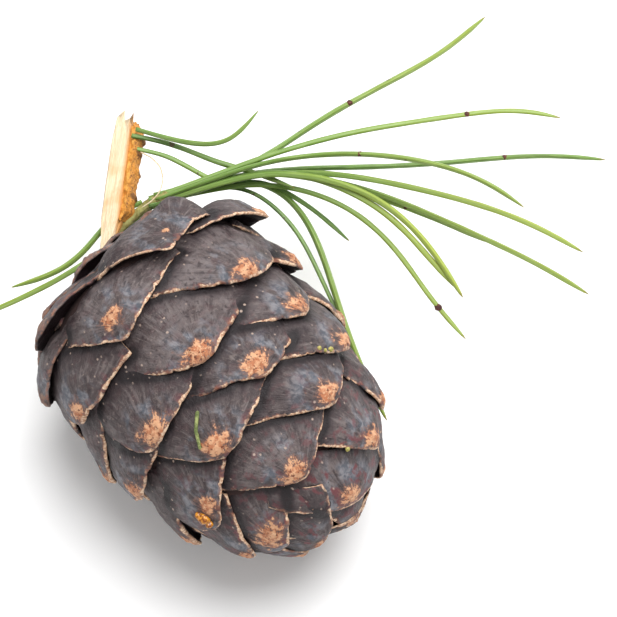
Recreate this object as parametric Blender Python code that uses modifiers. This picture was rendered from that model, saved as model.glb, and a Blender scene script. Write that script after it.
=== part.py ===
# A closed swiss stone pine cone, lying on its side on the floor, with the torn piece of twig that it
# was picked with and the needle bundles that grow on that twig.
# Metres, +Z up. The origin is the middle of the small flat spot that the cone rests on.

import math
import random

import bmesh
import bpy
import numpy
from mathutils import Matrix, Vector

# The cone
coneLength = 0.0706
coneRadius = 0.0271
widestAt = 0.36
baseFullness = 4.5
apexFullness = 2.7
coreDepth = 0.0040

# The scales, counted from the stalk to the tip
goldenAngle = math.radians(137.5077)
frontScale = 30
frontHeight = 0.0316
scaleHalfWidth = 0.0166
scaleNose = 0.0012
rimLength = 0.0068
scaleReach = 0.0205
scaleSlope = 0.154
scaleCrown = 0.0006
scaleThickness = 0.0080
# Scales that sit off the spiral: how far towards the cone's tip in millimetres, and how far round
# it in degrees.
offSpiral = {
    4: (-3.0, 0.0), 7: (-4.0, 0.0), 9: (-6.0, 0.0), 12: (-6.5, 0.0), 14: (-0.9, 1.0),
    17: (1.9, -10.8), 20: (-0.9, -16.0), 22: (1.9, -8.6), 25: (3.5, -14.0), 27: (-2.2, 5.1),
    30: (3.8, -7.3), 33: (2.9, -0.9), 35: (0.8, 1.8), 38: (1.1, 0.1), 40: (-4.0, 3.6),
    41: (0.4, 8.5), 43: (-0.4, 3.9), 46: (0.7, 1.9), 48: (-0.9, 4.8), 51: (0.9, 4.3),
    54: (0.0, -3.4), 56: (0.9, 24.0), 58: (0.0, -8.0), 59: (0.0, -14.0), 61: (0.0, 8.0),
}
# The last scales close over the cone's tip: how far short of it each one ends, or with a minus sign
# how far past it, in metres.
capTips = {58: 0.0088, 59: 0.0069, 60: 0.0045, 61: 0.0050, 62: 0.0, 63: -0.0030}
# Scales at the stalk end whose tips stand off the cone, in millimetres.
standingOff = {4: 0.0, 7: 0.0, 9: 0.0, 12: 0.0, 14: 1.6, 17: 1.8, 20: 1.6}
# Scales that arch up behind their tips. For each arch: millimetres to the left of the tip and behind
# it, how far it reaches sideways and along the scale, and how high it stands.
archedScales = {
    17: [(-11.0, 14.0, 6.5, 6.5, 5.2), (2.0, 15.0, 7.0, 6.0, 2.4)],
    20: [(-2.0, 9.0, 9.0, 6.0, 1.9)],
}

# How the cone lies: its axis points right, towards the front and a little down
axisTilt = math.radians(3.8)
axisTurn = math.radians(53.6)
faceElevation = math.radians(68.0)
restCut = 0.0015
restShift = Vector((0.0004, -0.0019, 0.0))

# The twig: a split piece of wood with a strip of bark, joined to the cone by its short stalk
twigOffset = Vector((0.0004, 0.0055, -0.0007))
stalkRadius = 0.0024
stalkGap = 0.0011
twigLength = 0.0285
twigRadius = 0.0032
twigSplit = 0.0014
twigHeading = math.radians(80.0)
twigSlope = -0.035
barkGap = 0.0003
barkThickness = 0.0011
barkStart = 0.0088
barkEnd = 0.0235
spurStart = 0.3
spurRadius = 0.0018
spurGap = 0.0014

# The needles: three-sided, growing in bundles from a slim sheath
needleRadius = 0.00075
needleTipRatio = 0.62
sheathRadius = 0.0015
sheathLength = 0.0110
bundleStart = Vector((-0.0103, 0.0385, 0.0265))
bundleHeading = math.radians(14.0)
bundleSlope = 0.12
# For each needle of the right-hand bundle: where its tip is, which way the tip points, and how far
# the straight stretches at its two ends reach, as shares of its length.
rightNeedles = [
    ((0.0605, 0.0735, 0.0290), 33.2, 0.25, 0.25),
    ((0.0726, 0.0482, 0.0300), -12.8, 0.35, 0.42),
    ((0.0816, 0.0416, 0.0230), -1.8, 0.33, 0.36),
    ((0.0622, 0.0270, 0.0340), -39.8, 0.37, 0.42),
    ((0.0742, 0.0215, 0.0230), -39.8, 0.33, 0.36),
    ((0.0758, 0.0167, 0.0130), -30.8, 0.32, 0.36),
    ((0.0492, 0.0134, 0.0240), -64.8, 0.47, 0.47),
    ((0.0496, 0.0079, 0.0160), -54.8, 0.54, 0.42),
    ((0.0285, 0.0300, 0.0190), -45.8, 0.64, 0.31),
    ((0.0325, -0.0068, 0.0130), -73.8, 0.62, 0.78),
]
leftStart = Vector((-0.0243, 0.0301, 0.0232))
leftNeedles = [
    ((-0.0392, 0.0246, 0.0215), 183.0, 0.30, 0.30),
    ((-0.0487, 0.0197, 0.0180), 200.0, 0.30, 0.30),
]
bentStart = Vector((-0.0112, 0.0518, 0.0299))
bentTip = Vector((0.0123, 0.0530, 0.0340))


def clearScene():
    for item in list(bpy.data.objects):
        bpy.data.objects.remove(item, do_unlink=True)


def newCollection(name):
    collection = bpy.data.collections.new(name)
    bpy.context.scene.collection.children.link(collection)
    return collection


def makeMaterial(name, colour, roughness):
    material = bpy.data.materials.new(name)
    material.use_nodes = True
    shader = material.node_tree.nodes["Principled BSDF"]
    shader.inputs["Base Color"].default_value = (*colour, 1.0)
    shader.inputs["Roughness"].default_value = roughness
    shader.inputs["Metallic"].default_value = 0.0
    return material


def coneProfile(height):
    part = min(max(height / coneLength, 0.0), 1.0)
    if part < widestAt:
        drop = ((widestAt - part) / widestAt) ** baseFullness
    else:
        drop = ((part - widestAt) / (1.0 - widestAt)) ** apexFullness
    return coneRadius * math.sqrt(max(0.0, 1.0 - drop))


# The profile as a table: height, radius, distance along the surface, and how many scales have their
# tips below each height, where the scales get smaller towards both ends.
heights = numpy.linspace(0.0, coneLength, 3001)
radii = numpy.array([coneProfile(height) for height in heights])
steps = numpy.hypot(numpy.diff(heights, prepend=0.0), numpy.diff(radii, prepend=0.0))
arcs = numpy.cumsum(steps)
parts = heights / coneLength
cellSizes = 1.0 - 0.45 * (1.0 - parts) ** 4 - 0.50 * parts ** 4 - 0.32 * parts ** 14
scaleCounts = numpy.cumsum(radii * steps / cellSizes)
scaleCounts = scaleCounts * (frontScale + 1.13) / numpy.interp(frontHeight, heights, scaleCounts)
scaleCount = int(scaleCounts[-1]) + 1


def surfacePoint(arc, angle, lift):
    arc = min(max(arc, 0.0002), arcs[-1] - 0.00005)
    height = numpy.interp(arc, arcs, heights)
    radius = numpy.interp(arc, arcs, radii)
    ahead = min(arc + 0.0004, arcs[-1])
    behind = max(arc - 0.0004, 0.0)
    rise = numpy.interp(ahead, arcs, heights) - numpy.interp(behind, arcs, heights)
    spread = numpy.interp(ahead, arcs, radii) - numpy.interp(behind, arcs, radii)
    size = math.hypot(rise, spread)
    out = radius + lift * rise / size
    up = height - lift * spread / size
    return Vector((out * math.cos(angle), out * math.sin(angle), up))


# A point on a scale, from its distance behind the scale's tip and its distance from the scale's
# middle line. Straight lines across the scale stay straight on the rolled-out cone.
def scalePoint(tipArc, tipAngle, back, side, lift):
    arc = tipArc - back
    radius = max(numpy.interp(arc, arcs, radii), 0.0004)
    step = 0.002
    slope = (numpy.interp(arc + step, arcs, radii) - numpy.interp(arc - step, arcs, radii)) / (2.0 * step)
    if abs(slope) < 0.02:
        return surfacePoint(arc, tipAngle + side / radius, lift)
    rolled = radius / abs(slope)
    turn = math.atan2(side, rolled) * rolled / radius
    shift = math.hypot(rolled, side) - rolled
    arc = arc + math.copysign(shift, slope)
    return surfacePoint(arc, tipAngle + turn, lift)


# A point on one of the last scales, which run across the cone's tip.
def capPoint(shortOf, tipAngle, back, side, lift):
    out = shortOf + back
    along = out * math.cos(tipAngle) - side * math.sin(tipAngle)
    across = out * math.sin(tipAngle) + side * math.cos(tipAngle)
    widest = int(numpy.argmax(radii))
    arc = numpy.interp(math.hypot(along, across), radii[:widest:-1], arcs[:widest:-1])
    return surfacePoint(arc, math.atan2(across, along), lift)


def scaleWidth(back, size):
    along = min(back / (rimLength * size), 1.0)
    wide = scaleHalfWidth * size
    width = scaleNose * size + (wide - scaleNose * size) * (1.0 - (1.0 - along) ** 1.12)
    shoulder = 0.0135 * size
    if back > shoulder:
        width = width * (1.0 - 0.45 * (back - shoulder) / (scaleReach * size - shoulder))
    return width


def makeScale(index, rng, material, collection):
    tipHeight = numpy.interp(index + 1.13, scaleCounts, heights)
    tipArc = numpy.interp(index + 1.13, scaleCounts, arcs)
    size = math.sqrt(numpy.interp(tipHeight, heights, cellSizes))
    shift, turn = offSpiral.get(index, (0.0, rng.uniform(-1.2, 1.2)))
    tipArc = tipArc + shift * 0.001
    tipAngle = math.radians(2.2 + turn) - goldenAngle * (index - frontScale)
    wide = rng.uniform(0.96, 1.05)
    raised = rng.uniform(-0.0002, 0.0003)
    # The lowest scales are ragged and stand off a little.
    standOff = 0.0
    if index < 21:
        standOff = standingOff.get(index, rng.uniform(0.0, 1.2)) * 0.001
    rows = [0.0, 0.0022, 0.0046, 0.0072, 0.0118, scaleReach]
    reach = min(scaleReach * size, tipArc - 0.0012)

    # A flat grid is thickened, and its two sides become the outer face and the hidden root.
    mesh = bmesh.new()
    bmesh.ops.create_grid(mesh, x_segments=4, y_segments=len(rows) - 1, size=1.0)
    outer = bmesh.ops.extrude_face_region(mesh, geom=mesh.faces[:], use_keep_orig=True)
    outside = set(item for item in outer["geom"] if isinstance(item, bmesh.types.BMVert))
    for vertex in mesh.verts:
        across = vertex.co.x
        row = round((vertex.co.y + 1.0) * 0.5 * (len(rows) - 1))
        back = min(rows[row] * size, reach * (0.7 + 0.06 * row))
        side = -across * scaleWidth(back, size) * wide
        lift = -scaleThickness
        if vertex in outside:
            lift = raised - scaleSlope * back - scaleCrown * size * across * across
            lift = lift + standOff * max(0.0, 1.0 - back / (0.009 * size)) + rng.uniform(-0.0002, 0.0002)
            for left, behind, sideReach, alongReach, height in archedScales.get(index, []):
                offSide = (side * 1000.0 - left) / sideReach
                offBack = (back * 1000.0 - behind) / alongReach
                lift = lift + 0.001 * height * math.exp(-offSide * offSide - offBack * offBack)
        if index in capTips:
            vertex.co = capPoint(capTips[index], tipAngle, back, side, lift)
        else:
            vertex.co = scalePoint(tipArc, tipAngle, back, side, lift)
    bmesh.ops.recalc_face_normals(mesh, faces=mesh.faces)
    if mesh.calc_volume(signed=True) < 0.0:
        bmesh.ops.reverse_faces(mesh, faces=mesh.faces)
    data = bpy.data.meshes.new("scale")
    mesh.to_mesh(data)
    mesh.free()
    scale = bpy.data.objects.new("scale_part", data)
    collection.objects.link(scale)
    data.materials.append(material)
    return scale


# An object's evaluated shape as a plain mesh object, with its modifiers applied.
def applied(item, name, collection, mergeDistance=0.0):
    graph = bpy.context.evaluated_depsgraph_get()
    graph.update()
    data = bpy.data.meshes.new_from_object(item.evaluated_get(graph))
    if mergeDistance > 0.0:
        mesh = bmesh.new()
        mesh.from_mesh(data)
        bmesh.ops.remove_doubles(mesh, verts=mesh.verts, dist=mergeDistance)
        bmesh.ops.recalc_face_normals(mesh, faces=mesh.faces)
        mesh.to_mesh(data)
        mesh.free()
    result = bpy.data.objects.new(name, data)
    result.matrix_world = item.matrix_world.copy()
    collection.objects.link(result)
    bpy.data.objects.remove(item, do_unlink=True)
    return result


# Pockets smaller than a grain, closed in where three scales meet, are filled by dropping their walls.
def keepLargestShell(data):
    mesh = bmesh.new()
    mesh.from_mesh(data)
    unseen = set(mesh.verts)
    shells = []
    while unseen:
        shell = set()
        edge = [unseen.pop()]
        while edge:
            vertex = edge.pop()
            shell.add(vertex)
            for link in vertex.link_edges:
                other = link.other_vert(vertex)
                if other in unseen:
                    unseen.remove(other)
                    edge.append(other)
        shells.append(shell)
    shells.sort(key=len)
    for shell in shells[:-1]:
        bmesh.ops.delete(mesh, geom=list(shell), context="VERTS")
    mesh.to_mesh(data)
    mesh.free()


def uniteAll(base, group, name, collection):
    for item in group.objects:
        union = base.modifiers.new("union", "BOOLEAN")
        union.operation = "UNION"
        union.object = item
        union.solver = "MANIFOLD"
    whole = applied(base, name, collection)
    keepLargestShell(whole.data)
    for item in list(group.objects):
        bpy.data.objects.remove(item, do_unlink=True)
    return whole


# The inner body that every scale is rooted in.
def makeCore(material, collection):
    mesh = bmesh.new()
    count = 26
    previous = None
    for number in range(count):
        part = 0.5 - 0.5 * math.cos(math.pi * number / (count - 1))
        arc = arcs[-1] * part
        point = surfacePoint(arc, 0.0, -coreDepth)
        if number in (0, count - 1):
            point.x = 0.0
        vertex = mesh.verts.new((point.x, 0.0, point.z))
        if previous:
            mesh.edges.new((previous, vertex))
        previous = vertex
    data = bpy.data.meshes.new("core")
    mesh.to_mesh(data)
    mesh.free()
    core = bpy.data.objects.new("core_part", data)
    collection.objects.link(core)
    data.materials.append(material)
    turned = core.modifiers.new("turned", "SCREW")
    turned.steps = 36
    turned.render_steps = 36
    turned.use_merge_vertices = True
    turned.merge_threshold = 0.00005
    turned.use_normal_calculate = True
    return applied(core, "core_part", collection, 0.00001)


def coneFrame():
    axis = Vector((
        math.cos(axisTilt) * math.cos(axisTurn),
        -math.cos(axisTilt) * math.sin(axisTurn),
        -math.sin(axisTilt),
    ))
    view = Vector((0.0, -math.cos(faceElevation), math.sin(faceElevation)))
    front = (view - axis * axis.dot(view)).normalized()
    side = axis.cross(front)
    # The lowest point of the smooth outline comes to rest just under the floor, at the origin.
    sunk = [coneProfile(height) * math.cos(axisTilt) + height * math.sin(axisTilt) for height in heights]
    best = heights[sunk.index(max(sunk))]
    down = (axis * axis.z - Vector((0.0, 0.0, 1.0))).normalized()
    lowest = axis * best + down * coneProfile(best)
    base = restShift - Vector((0.0, 0.0, restCut)) - lowest
    frame = Matrix((
        (front.x, side.x, axis.x, base.x),
        (front.y, side.y, axis.y, base.y),
        (front.z, side.z, axis.z, base.z),
        (0.0, 0.0, 0.0, 1.0),
    ))
    return frame


# The smooth path of one needle, from its start to its tip.
def needlePath(start, startWay, tip, tipWay, startReach, tipReach):
    span = (tip - start).length
    first = start + startWay.normalized() * span * startReach
    second = tip - tipWay.normalized() * span * tipReach
    points = []
    count = 12
    for number in range(count + 1):
        along = number / count
        rest = 1.0 - along
        point = start * rest ** 3 + first * 3.0 * rest * rest * along
        point = point + second * 3.0 * rest * along * along + tip * along ** 3
        points.append(point)
    return points


def makeSection(radius, collection):
    curve = bpy.data.curves.new("needle_section", "CURVE")
    curve.dimensions = "2D"
    spline = curve.splines.new("POLY")
    spline.points.add(2)
    spline.use_cyclic_u = True
    for number, point in enumerate(spline.points):
        angle = math.radians(90.0 + 120.0 * number)
        point.co = (radius * math.cos(angle), radius * math.sin(angle), 0.0, 1.0)
    section = bpy.data.objects.new("needle_section", curve)
    section.hide_render = True
    section.display_type = "WIRE"
    collection.objects.link(section)
    return section


def makeNeedle(points, section, material, collection):
    curve = bpy.data.curves.new("needle", "CURVE")
    curve.dimensions = "3D"
    curve.bevel_mode = "OBJECT"
    curve.bevel_object = section
    curve.use_fill_caps = True
    spline = curve.splines.new("POLY")
    spline.points.add(len(points) - 1)
    for number, point in enumerate(points):
        along = number / (len(points) - 1)
        spline.points[number].co = (*point, 1.0)
        spline.points[number].radius = 1.0 - (1.0 - needleTipRatio) * along ** 3
    curve.materials.append(material)
    needle = bpy.data.objects.new("needle_part", curve)
    collection.objects.link(needle)
    return applied(needle, "needle_part", collection, 0.000001)


def makeSheath(start, way, length, radius, material, collection):
    mesh = bmesh.new()
    bmesh.ops.create_cone(
        mesh, cap_ends=True, segments=9, radius1=radius, radius2=radius * 0.72, depth=length
    )
    middle = start + way.normalized() * length * 0.5
    turn = way.to_track_quat("Z", "Y").to_matrix().to_4x4()
    bmesh.ops.transform(mesh, matrix=Matrix.Translation(middle) @ turn, verts=mesh.verts)
    data = bpy.data.meshes.new("sheath")
    mesh.to_mesh(data)
    mesh.free()
    sheath = bpy.data.objects.new("sheath_part", data)
    collection.objects.link(sheath)
    data.materials.append(material)
    return sheath


def headingWay(heading, slope):
    return Vector((math.cos(heading), math.sin(heading), slope))


# A bundle of needles that leave one sheath, fused into one body.
def makeBundle(name, start, heading, slope, needles, length, section, material, collection):
    group = newCollection(name + "_parts")
    way = headingWay(heading, slope)
    sheath = makeSheath(start, way, length, sheathRadius, material, collection)
    for tip, tipHeading, startReach, tipReach in needles:
        root = start + way.normalized() * 0.0012
        tipWay = headingWay(math.radians(tipHeading), -0.1)
        path = needlePath(root, way, Vector(tip), tipWay, startReach, tipReach)
        makeNeedle(path, section, material, group)
    bundle = uniteAll(sheath, group, name, collection)
    bpy.data.collections.remove(group)
    return bundle


# The split wood, with its torn point, the stalk that carries the cone, and the spur of the needles.
def makeTwigWood(root, foot, material, collection):
    group = newCollection("twig_parts")
    way = headingWay(twigHeading, twigSlope).normalized()
    side = Vector((math.sin(twigHeading), -math.cos(twigHeading), 0.0))
    under = way.cross(side)
    mesh = bmesh.new()
    bmesh.ops.create_cone(
        mesh, cap_ends=True, segments=14, radius1=twigRadius, radius2=twigRadius, depth=twigLength
    )
    upright = [edge for edge in mesh.edges if abs(edge.verts[0].co.z - edge.verts[1].co.z) > 0.001]
    bmesh.ops.subdivide_edges(mesh, edges=upright, cuts=4, use_grid_fill=False)
    rng = random.Random(7)
    for vertex in mesh.verts:
        along = vertex.co.z / twigLength + 0.5
        across = max(vertex.co.x, -twigSplit) + rng.uniform(-0.0002, 0.0002)
        deep = vertex.co.y
        if along < 0.1:
            across = across * 0.72
            deep = deep * 0.72
        if along > 0.7:
            narrow = 1.0 - 0.8 * (along - 0.7) / 0.3
            across = -twigSplit + (across + twigSplit) * narrow
            deep = deep * narrow
        vertex.co = root + way * along * twigLength + side * across + under * deep
    data = bpy.data.meshes.new("twig")
    mesh.to_mesh(data)
    mesh.free()
    wood = bpy.data.objects.new("twig_part", data)
    collection.objects.link(wood)
    data.materials.append(material)
    stalkWay = foot - root
    stalkStart = root - stalkWay.normalized() * 0.0008
    makeSheath(stalkStart, stalkWay, stalkWay.length + 0.0008 - stalkGap, stalkRadius, material, group)
    spurRoot = root + stalkWay * spurStart
    spurWay = bundleStart - spurRoot
    makeSheath(spurRoot, spurWay, spurWay.length - spurGap, spurRadius, material, group)
    twig = uniteAll(wood, group, "twig_wood", collection)
    bpy.data.collections.remove(group)
    return twig


# The strip of bark, bent round the right-hand side of the wood.
def makeTwigBark(root, material, collection):
    way = headingWay(twigHeading, twigSlope).normalized()
    side = Vector((math.sin(twigHeading), -math.cos(twigHeading), 0.0))
    under = way.cross(side)
    mesh = bmesh.new()
    bmesh.ops.create_grid(mesh, x_segments=8, y_segments=5, size=1.0)
    rng = random.Random(12)
    radius = twigRadius + barkGap + 0.0002
    for vertex in mesh.verts:
        angle = math.radians(88.0) * vertex.co.x
        end = barkEnd + rng.uniform(-0.0012, 0.0012) - 0.0015 * abs(vertex.co.x)
        along = barkStart + (end - barkStart) * (vertex.co.y + 1.0) * 0.5
        vertex.co = root + way * along + (side * math.cos(angle) + under * math.sin(angle)) * radius
    data = bpy.data.meshes.new("bark")
    mesh.to_mesh(data)
    mesh.free()
    bark = bpy.data.objects.new("twig_bark", data)
    collection.objects.link(bark)
    data.materials.append(material)
    shell = bark.modifiers.new("thickness", "SOLIDIFY")
    shell.thickness = barkThickness
    shell.offset = 1.0
    return bark


clearScene()
model = newCollection("swiss_stone_pine_cone")
cutters = newCollection("cutters")
scaleGroup = newCollection("scale_parts")

scaleMaterial = makeMaterial("cone_scales", (0.145, 0.108, 0.106), 0.72)
rng = random.Random(41)
for index in range(scaleCount):
    makeScale(index, rng, scaleMaterial, scaleGroup)
core = makeCore(scaleMaterial, model)
cone = uniteAll(core, scaleGroup, "cone", model)
frame = coneFrame()
cone.matrix_world = frame
bpy.data.collections.remove(scaleGroup)

bpy.ops.mesh.primitive_cube_add(size=1.0, location=(0.0, 0.0, -0.01))
block = bpy.context.active_object
block.name = "floor_cut"
block.scale = (0.2, 0.2, 0.02)
block.hide_render = True
block.display_type = "WIRE"
for owner in list(block.users_collection):
    owner.objects.unlink(block)
cutters.objects.link(block)
flat = cone.modifiers.new("flat_spot", "BOOLEAN")
flat.operation = "DIFFERENCE"
flat.object = block
flat.solver = "MANIFOLD"

stalkFoot = Vector((frame[0][3], frame[1][3], frame[2][3]))
twigRoot = stalkFoot + twigOffset
woodMaterial = makeMaterial("torn_wood", (0.83, 0.66, 0.44), 0.75)
barkMaterial = makeMaterial("twig_bark", (0.62, 0.33, 0.09), 0.8)
needleMaterial = makeMaterial("needles", (0.20, 0.33, 0.07), 0.45)
makeTwigWood(twigRoot, stalkFoot, woodMaterial, model)
makeTwigBark(twigRoot, barkMaterial, model)

section = makeSection(needleRadius, cutters)
makeBundle(
    "needles_right", bundleStart, bundleHeading, bundleSlope, rightNeedles, sheathLength,
    section, needleMaterial, model,
)
makeBundle(
    "needles_left", leftStart, math.radians(214.0), -0.1, leftNeedles, 0.004,
    section, needleMaterial, model,
)
bentPath = needlePath(bentStart, Vector((1.0, -0.32, 0.1)), bentTip, Vector((0.7, 1.0, 0.1)), 0.6, 0.45)
bentNeedle = makeNeedle(bentPath, section, needleMaterial, model)
bentNeedle.name = "needle_bent"
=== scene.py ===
import math

import bpy
import numpy as np
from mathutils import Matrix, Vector, kdtree


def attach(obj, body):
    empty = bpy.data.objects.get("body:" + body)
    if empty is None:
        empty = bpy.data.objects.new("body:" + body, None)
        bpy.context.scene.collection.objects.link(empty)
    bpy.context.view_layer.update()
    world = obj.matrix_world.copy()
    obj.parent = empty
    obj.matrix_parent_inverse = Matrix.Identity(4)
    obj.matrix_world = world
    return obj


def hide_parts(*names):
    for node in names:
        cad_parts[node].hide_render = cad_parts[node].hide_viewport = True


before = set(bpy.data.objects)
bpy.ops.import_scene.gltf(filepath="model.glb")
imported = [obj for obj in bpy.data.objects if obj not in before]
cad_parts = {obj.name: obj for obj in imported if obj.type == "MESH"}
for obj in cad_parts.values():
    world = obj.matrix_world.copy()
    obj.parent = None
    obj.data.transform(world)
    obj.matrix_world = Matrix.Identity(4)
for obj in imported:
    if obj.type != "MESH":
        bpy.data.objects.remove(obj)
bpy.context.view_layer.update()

print("frame loaded:", sorted(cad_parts))


# Colours are written as the numbers a painter picks from a screen, 0 to 255.
def paint(red, green, blue):
    linear = []
    for part in (red, green, blue):
        share = part / 255.0
        linear.append(share / 12.92 if share <= 0.04045 else ((share + 0.055) / 1.055) ** 2.4)
    return (*linear, 1.0)


# Small helpers for building a material node by node.
def feed(tree, socket, value):
    if isinstance(value, bpy.types.NodeSocket):
        tree.links.new(value, socket)
    else:
        socket.default_value = value


def startMaterial(name):
    material = bpy.data.materials.new(name)
    material.use_nodes = True
    tree = material.node_tree
    return material, tree, tree.nodes["Principled BSDF"]


def readValue(tree, name, output="Fac"):
    reader = tree.nodes.new("ShaderNodeAttribute")
    reader.attribute_name = name
    return reader.outputs[output]


def reckon(tree, operation, first, *others):
    for other in others:
        step = tree.nodes.new("ShaderNodeMath")
        step.operation = operation
        feed(tree, step.inputs[0], first)
        feed(tree, step.inputs[1], other)
        first = step.outputs[0]
    return first


def times(tree, *values):
    return reckon(tree, "MULTIPLY", *values)


def plus(tree, *values):
    return reckon(tree, "ADD", *values)


def fade(tree, value, low, high, start=0.0, end=1.0):
    spread = tree.nodes.new("ShaderNodeMapRange")
    spread.interpolation_type = "SMOOTHSTEP"
    feed(tree, spread.inputs["Value"], value)
    spread.inputs["From Min"].default_value = low
    spread.inputs["From Max"].default_value = high
    spread.inputs["To Min"].default_value = start
    spread.inputs["To Max"].default_value = end
    return spread.outputs[0]


def stretched(tree, vector, scales):
    mapping = tree.nodes.new("ShaderNodeMapping")
    feed(tree, mapping.inputs["Vector"], vector)
    mapping.inputs["Scale"].default_value = scales
    return mapping.outputs[0]


def grain(tree, vector, scale, detail=3.0, roughness=0.55, distortion=0.0):
    noise = tree.nodes.new("ShaderNodeTexNoise")
    feed(tree, noise.inputs["Vector"], vector)
    noise.inputs["Scale"].default_value = scale
    noise.inputs["Detail"].default_value = detail
    noise.inputs["Roughness"].default_value = roughness
    noise.inputs["Distortion"].default_value = distortion
    return noise.outputs["Fac"]


def blend(tree, share, first, second):
    mix = tree.nodes.new("ShaderNodeMix")
    mix.data_type = "RGBA"
    feed(tree, mix.inputs[0], share)
    feed(tree, mix.inputs[6], first)
    feed(tree, mix.inputs[7], second)
    return mix.outputs[2]


# From one tone to another as a value goes from low to high
def twoTone(tree, value, low, high, first, second):
    return blend(tree, fade(tree, value, low, high), paint(*first), paint(*second))


# Coats over a colour. Each comes in as its value goes from low to high, up to the given strength.
def coats(tree, under, *rows):
    for value, low, high, most, colour in rows:
        under = blend(tree, fade(tree, value, low, high, 0.0, most), under, paint(*colour))
    return under


def roughen(tree, shader, height, distance, strength=1.0):
    bump = tree.nodes.new("ShaderNodeBump")
    bump.inputs["Strength"].default_value = strength
    bump.inputs["Distance"].default_value = distance
    feed(tree, bump.inputs["Height"], height)
    feed(tree, shader.inputs["Normal"], bump.outputs[0])


def dress(tree, shader, colour, roughness):
    feed(tree, shader.inputs["Base Color"], colour)
    feed(tree, shader.inputs["Roughness"], roughness)


def objectSpot(tree):
    return tree.nodes.new("ShaderNodeTexCoord").outputs["Object"]


# Smooth random waves over a line or a sheet, the same each time for the same seed
def softWaves(x, y, wave, seed):
    cells = 61
    table = np.random.default_rng(seed).uniform(-1.0, 1.0, (cells, cells))
    x = x / wave + 1000.0
    y = y / wave + 1000.0
    column = np.floor(x).astype(int)
    row = np.floor(y).astype(int)
    across = smoothStep(x - column, 0.0, 1.0)
    along = smoothStep(y - row, 0.0, 1.0)
    sides = []
    for line in (row % cells, (row + 1) % cells):
        left = table[line, column % cells] * (1.0 - across)
        sides.append(left + table[line, (column + 1) % cells] * across)
    return sides[0] * (1.0 - along) + sides[1] * along


def smoothStep(value, low, high):
    share = np.clip((value - low) / (high - low), 0.0, 1.0)
    return share * share * (3.0 - 2.0 * share)


def stackGrid(*parts):
    return np.stack(np.broadcast_arrays(*parts), axis=-1)


def roundAngles(count):
    return np.linspace(0.0, 2.0 * np.pi, count, endpoint=False)


# Layers are the numbers or places that a material reads at each point.
def makePiece(name, points, faces, material, layers=None):
    mesh = bpy.data.meshes.new(name)
    mesh.from_pydata([tuple(point) for point in points], [], faces)
    mesh.validate()
    for key, numbers in (layers or {}).items():
        kind, field = ("FLOAT", "value") if numbers.ndim == 1 else ("FLOAT_VECTOR", "vector")
        layer = mesh.attributes.new(key, kind, "POINT")
        layer.data.foreach_set(field, np.asarray(numbers, np.float32).ravel())
    mesh.materials.append(material)
    mesh.polygons.foreach_set("use_smooth", [True] * len(mesh.polygons))
    piece = bpy.data.objects.new(name, mesh)
    bpy.context.scene.collection.objects.link(piece)
    return piece


# Several meshes as one piece, each given as points, faces and layers
def joinPiece(name, parts, material):
    faces = []
    start = 0
    for points, partFaces, _ in parts:
        faces.extend(tuple(corner + start for corner in face) for face in partFaces)
        start = start + len(points)
    points = np.concatenate([part[0] for part in parts])
    layers = {key: np.concatenate([part[2][key] for part in parts]) for key in parts[0][2]}
    return makePiece(name, points, faces, material, layers)


# What a piece rides on and which solid it stands for
def settle(piece, node):
    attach(piece, "root")
    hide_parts(node)


# The way from the object to someone who looks down on it
def viewWay(elevation):
    return Vector((0.0, -math.cos(elevation), math.sin(elevation)))


# The cone: an egg-shaped body, metres. Its scales get smaller towards the stalk, the tip and the cap
# that closes over the tip.
coneShape = {
    "length": 0.0706, "radius": 0.0271, "widestAt": 0.36, "baseFullness": 4.5, "apexFullness": 2.7,
    "goldenAngle": math.radians(137.5077), "startAngle": 2.2, "frontScale": 30, "frontHeight": 0.0316,
    "firstTip": 1.13, "stalkShrink": 0.45, "tipShrink": 0.5, "capShrink": 0.32,
    "tilt": math.radians(3.8), "turn": math.radians(53.6), "faceElevation": math.radians(68.0),
    "restCut": 0.0015, "restShift": (0.0004, -0.0019, 0.0),
}


def coneProfile(height):
    part = np.clip(height / coneShape["length"], 0.0, 1.0)
    widest = coneShape["widestAt"]
    below = (np.maximum(widest - part, 0.0) / widest) ** coneShape["baseFullness"]
    above = (np.maximum(part - widest, 0.0) / (1.0 - widest)) ** coneShape["apexFullness"]
    return coneShape["radius"] * np.sqrt(np.maximum(0.0, 1.0 - below - above))


# The outline as a table, with how many scales have their tips below each height
heights = np.linspace(0.0, coneShape["length"], 3001)
radii = coneProfile(heights)
steps = np.hypot(np.diff(heights, prepend=0.0), np.diff(radii, prepend=0.0))
arcs = np.cumsum(steps)
parts = heights / coneShape["length"]
cellSizes = 1.0 - coneShape["stalkShrink"] * (1.0 - parts) ** 4
cellSizes = cellSizes - coneShape["tipShrink"] * parts ** 4 - coneShape["capShrink"] * parts ** 14
scaleCounts = np.cumsum(radii * steps / cellSizes)
frontCount = coneShape["frontScale"] + coneShape["firstTip"]
scaleCounts = scaleCounts * frontCount / np.interp(coneShape["frontHeight"], heights, scaleCounts)
scaleTotal = int(scaleCounts[-1]) + 1


def conePoint(arc, angle, lift):
    probe = 0.0004
    arc = np.clip(arc, 0.0002, arcs[-1] - 0.00005)
    height = np.interp(arc, arcs, heights)
    radius = np.interp(arc, arcs, radii)
    ahead = np.minimum(arc + probe, arcs[-1])
    behind = np.maximum(arc - probe, 0.0)
    rise = np.interp(ahead, arcs, heights) - np.interp(behind, arcs, heights)
    spread = np.interp(ahead, arcs, radii) - np.interp(behind, arcs, radii)
    size = np.hypot(rise, spread)
    out = radius + lift * rise / size
    up = height - lift * spread / size
    return np.stack([out * np.cos(angle), out * np.sin(angle), up], axis=-1)


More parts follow.
